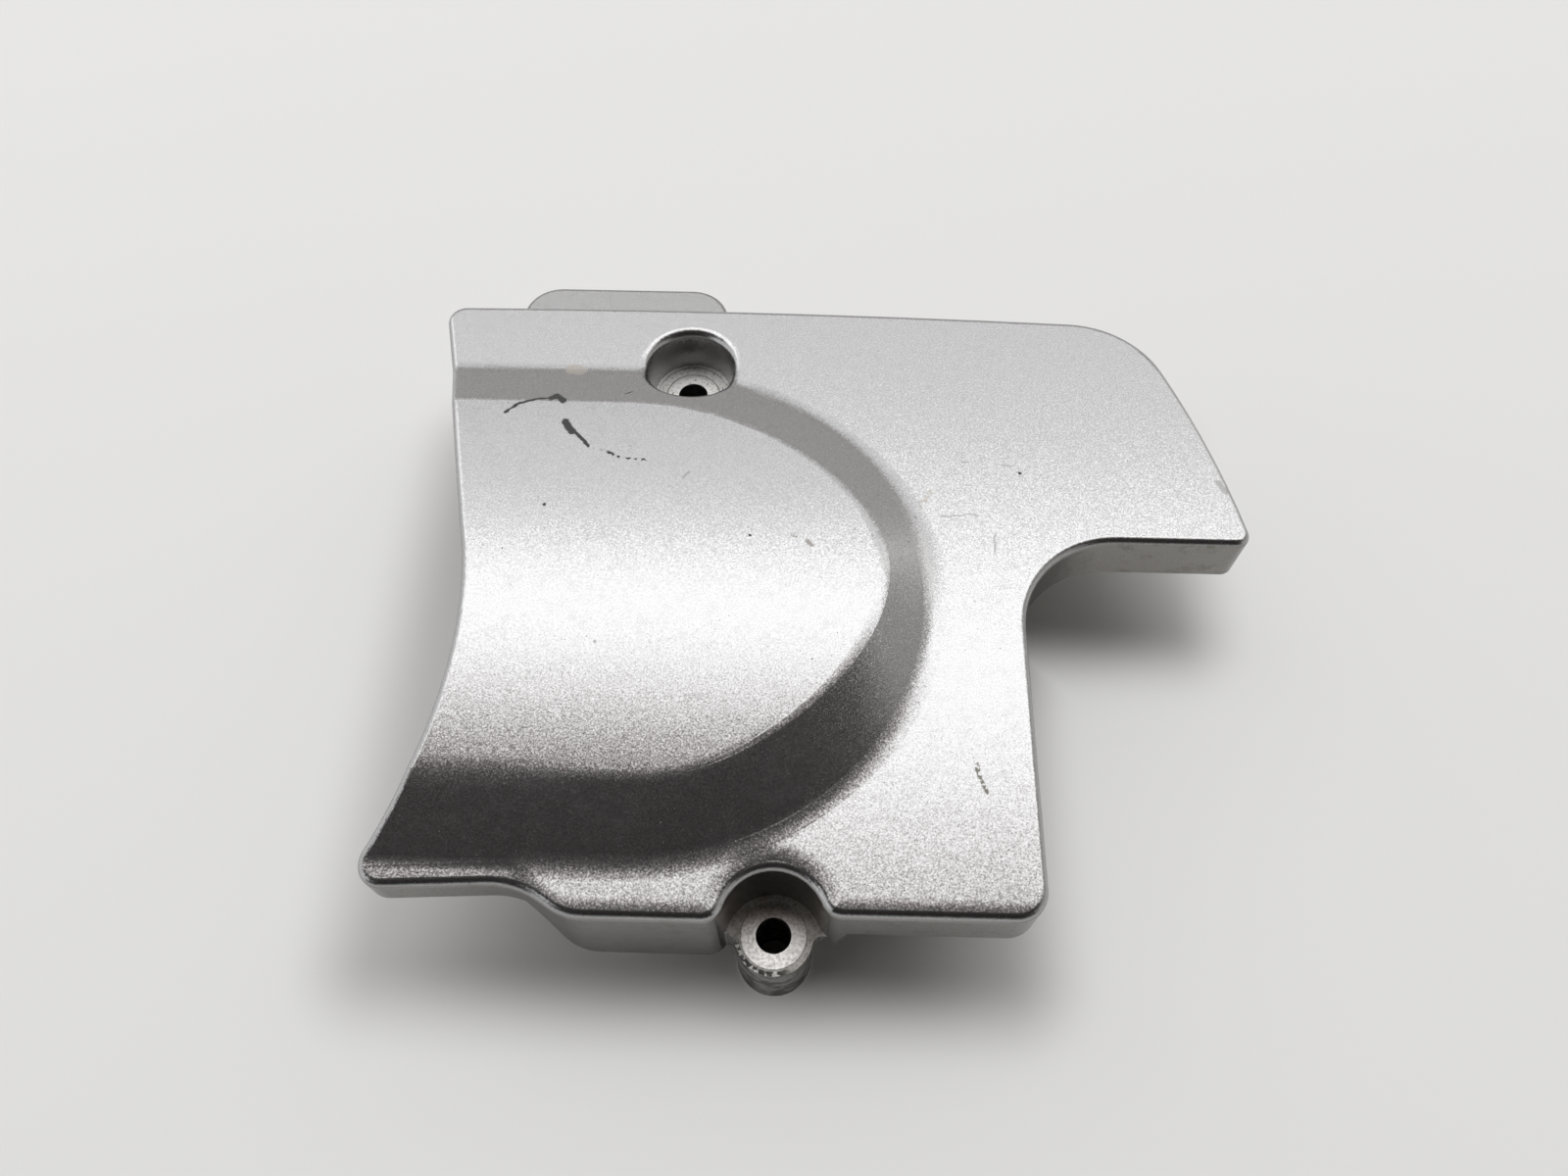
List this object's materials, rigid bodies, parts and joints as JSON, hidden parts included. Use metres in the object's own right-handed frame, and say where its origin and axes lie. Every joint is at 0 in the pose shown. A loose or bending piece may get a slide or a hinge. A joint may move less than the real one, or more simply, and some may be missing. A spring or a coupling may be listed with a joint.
{
  "type": "motorcycle sprocket cover",
  "caption": "Cast aluminium cover over a motorcycle's front sprocket, with a domed panel, a short arm over the chain and recessed bolt seats.",
  "frame": {"origin": "axis of the lower bolt hole at the mounting plane, on which the two bosses stand", "axes": "+Z out of the outer face, along both bolts; +X along the arm towards the rear wheel; +Y up on the machine"},
  "size_m": [0.173, 0.1585, 0.0424],
  "materials": {
    "cast_aluminium": "silver metallic paint, bare metal on the bolt seats and boss feet"
  },
  "bodies": {
    "root": {"sprocket_cover": "cast_aluminium"}
  },
  "joints": []
}
